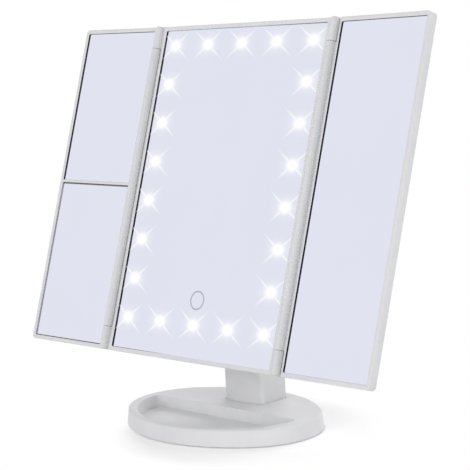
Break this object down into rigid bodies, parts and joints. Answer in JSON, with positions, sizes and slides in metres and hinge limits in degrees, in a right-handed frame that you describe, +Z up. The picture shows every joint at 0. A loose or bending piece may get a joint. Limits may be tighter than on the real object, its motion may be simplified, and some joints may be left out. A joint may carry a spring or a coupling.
{
  "type": "trifold vanity mirror",
  "caption": "Lit trifold table mirror: a framed centre mirror with light windows and a touch ring, two folding side mirrors, and a tilting neck on an oval tray base.",
  "frame": {"origin": "on the table under the middle of the oval base", "axes": "+X to the user's right along the base's long axis, +Y away from the user, +Z up"},
  "size_m": [0.3436, 0.124, 0.2919],
  "materials": {
    "white_plastic": "satin moulded ABS, cool white",
    "mirror": "flat silvered glass",
    "frosted_light": "frosted, lit from behind",
    "ring_print": "thin grey-mauve print",
    "steel": "zinc plated",
    "brass": "plain",
    "rubber": "matt",
    "board": "green solder mask",
    "components": "black moulded parts",
    "foam": "grey closed-cell foam"
  },
  "bodies": {
    "stand": {"base_shell": "white_plastic", "base_cover": "white_plastic", "ballast_plate": "steel", "base_feet": "rubber", "base_screws": "steel", "neck_column": "white_plastic", "neck_rear_cover": "white_plastic", "neck_cover_screws": "steel", "neck_foot_screws": "steel", "axle_bushing": "brass"},
    "centre_panel": {"tilt_axle": "steel", "friction_washers": "steel", "axle_nut": "steel", "tilt_bracket": "white_plastic", "bracket_screws": "steel", "centre_frame": "white_plastic", "centre_mirror": "mirror", "light_windows": "frosted_light", "touch_ring": "ring_print", "led_board": "board", "leds": "frosted_light", "touch_sensor": "brass", "control_board": "board", "board_components": "components", "board_screws": "steel", "usb_socket": "steel", "switch_case": "steel", "rear_housing": "white_plastic", "housing_screws": "steel", "battery_cells": "steel", "battery_contacts": "steel", "hinge_pins": "steel"},
    "left_panel": {"left_frame": "white_plastic", "left_upper_mirror": "mirror", "left_lower_mirror": "mirror", "left_foam_pad": "foam", "left_cover": "white_plastic"},
    "right_panel": {"right_frame": "white_plastic", "right_mirror": "mirror", "right_foam_pad": "foam", "right_cover": "white_plastic"},
    "battery_hatch": {"battery_door": "white_plastic"},
    "switch_knob": {"switch_slider": "white_plastic"}
  },
  "joints": [
    {"name": "tilt", "type": "hinge", "parent": "stand", "child": "centre_panel", "pos_m": [0, 0.0351, 0.1317], "axis": [-1, 0, 0], "range_deg": [-18, 71.6]},
    {"name": "left_fold", "type": "hinge", "parent": "centre_panel", "child": "left_panel", "pos_m": [-0.088, 0.00302, 0.17256], "axis": [0, 0.3145, 0.9493], "range_deg": [-2, 178]},
    {"name": "right_fold", "type": "hinge", "parent": "centre_panel", "child": "right_panel", "pos_m": [0.088, 0.00302, 0.17256], "axis": [0, -0.3145, -0.9493], "range_deg": [-2, 178]},
    {"name": "hatch_slide", "type": "slide", "parent": "centre_panel", "child": "battery_hatch", "axis": [0, 0.3145, 0.9493], "range_m": [0, 0.0125]},
    {"name": "switch_slide", "type": "slide", "parent": "centre_panel", "child": "switch_knob", "axis": [1, 0, 0], "range_m": [0, 0.0034]}
  ]
}
